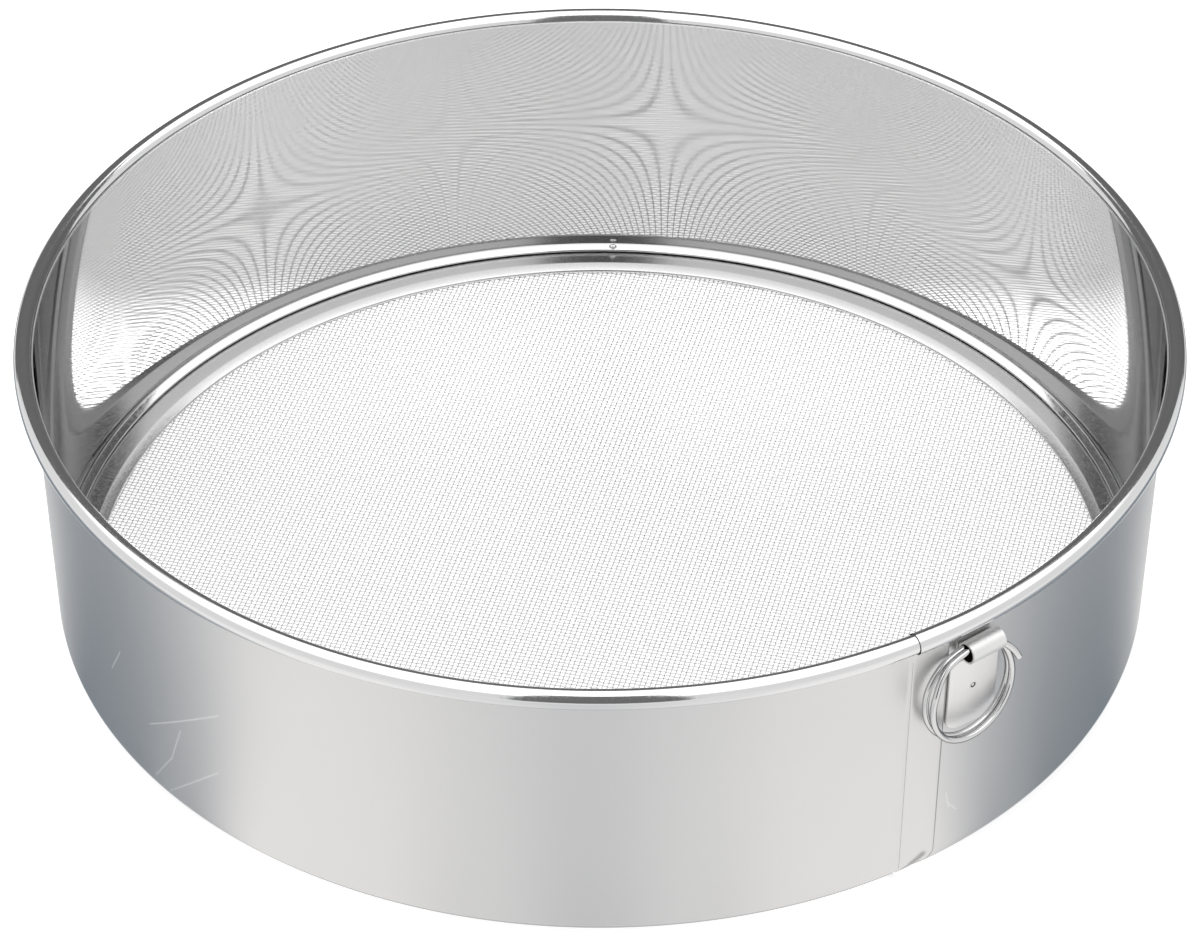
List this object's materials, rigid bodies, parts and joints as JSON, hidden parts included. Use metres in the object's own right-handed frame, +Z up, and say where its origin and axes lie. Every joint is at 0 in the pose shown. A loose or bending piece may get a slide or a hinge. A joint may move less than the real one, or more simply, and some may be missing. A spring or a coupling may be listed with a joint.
{
  "type": "drum sieve",
  "caption": "Round stainless steel drum sieve (tamis) with a rolled rim, a flat woven-wire base held by a clamp ring, and a split ring in a strap for hanging it up.",
  "frame": {"origin": "centre of the foot's underside, on the drum's axis", "axes": "+Z up along the drum's axis; -Y is the front that the picture shows, with the hanging ring to its right"},
  "size_m": [0.24, 0.24, 0.0652],
  "materials": {
    "satin_steel": "satin outside, bright inside",
    "bright_steel": "polished",
    "cloth_steel": "drawn wire",
    "core_steel": "plain wire"
  },
  "bodies": {
    "drum": {"drum_hoop": "satin_steel", "rim_wire": "core_steel", "mesh_disc": "cloth_steel", "clamp_ring": "bright_steel", "retaining_wire": "bright_steel", "hanger_strap": "bright_steel"},
    "hanging_ring": {"split_ring": "bright_steel"}
  },
  "joints": [
    {"name": "ring_swing", "type": "hinge", "parent": "drum", "child": "hanging_ring", "pos_m": [0.07307, -0.09319, 0.05553], "axis": [-0.7869, -0.617, 0], "range_deg": [0, 140]}
  ]
}
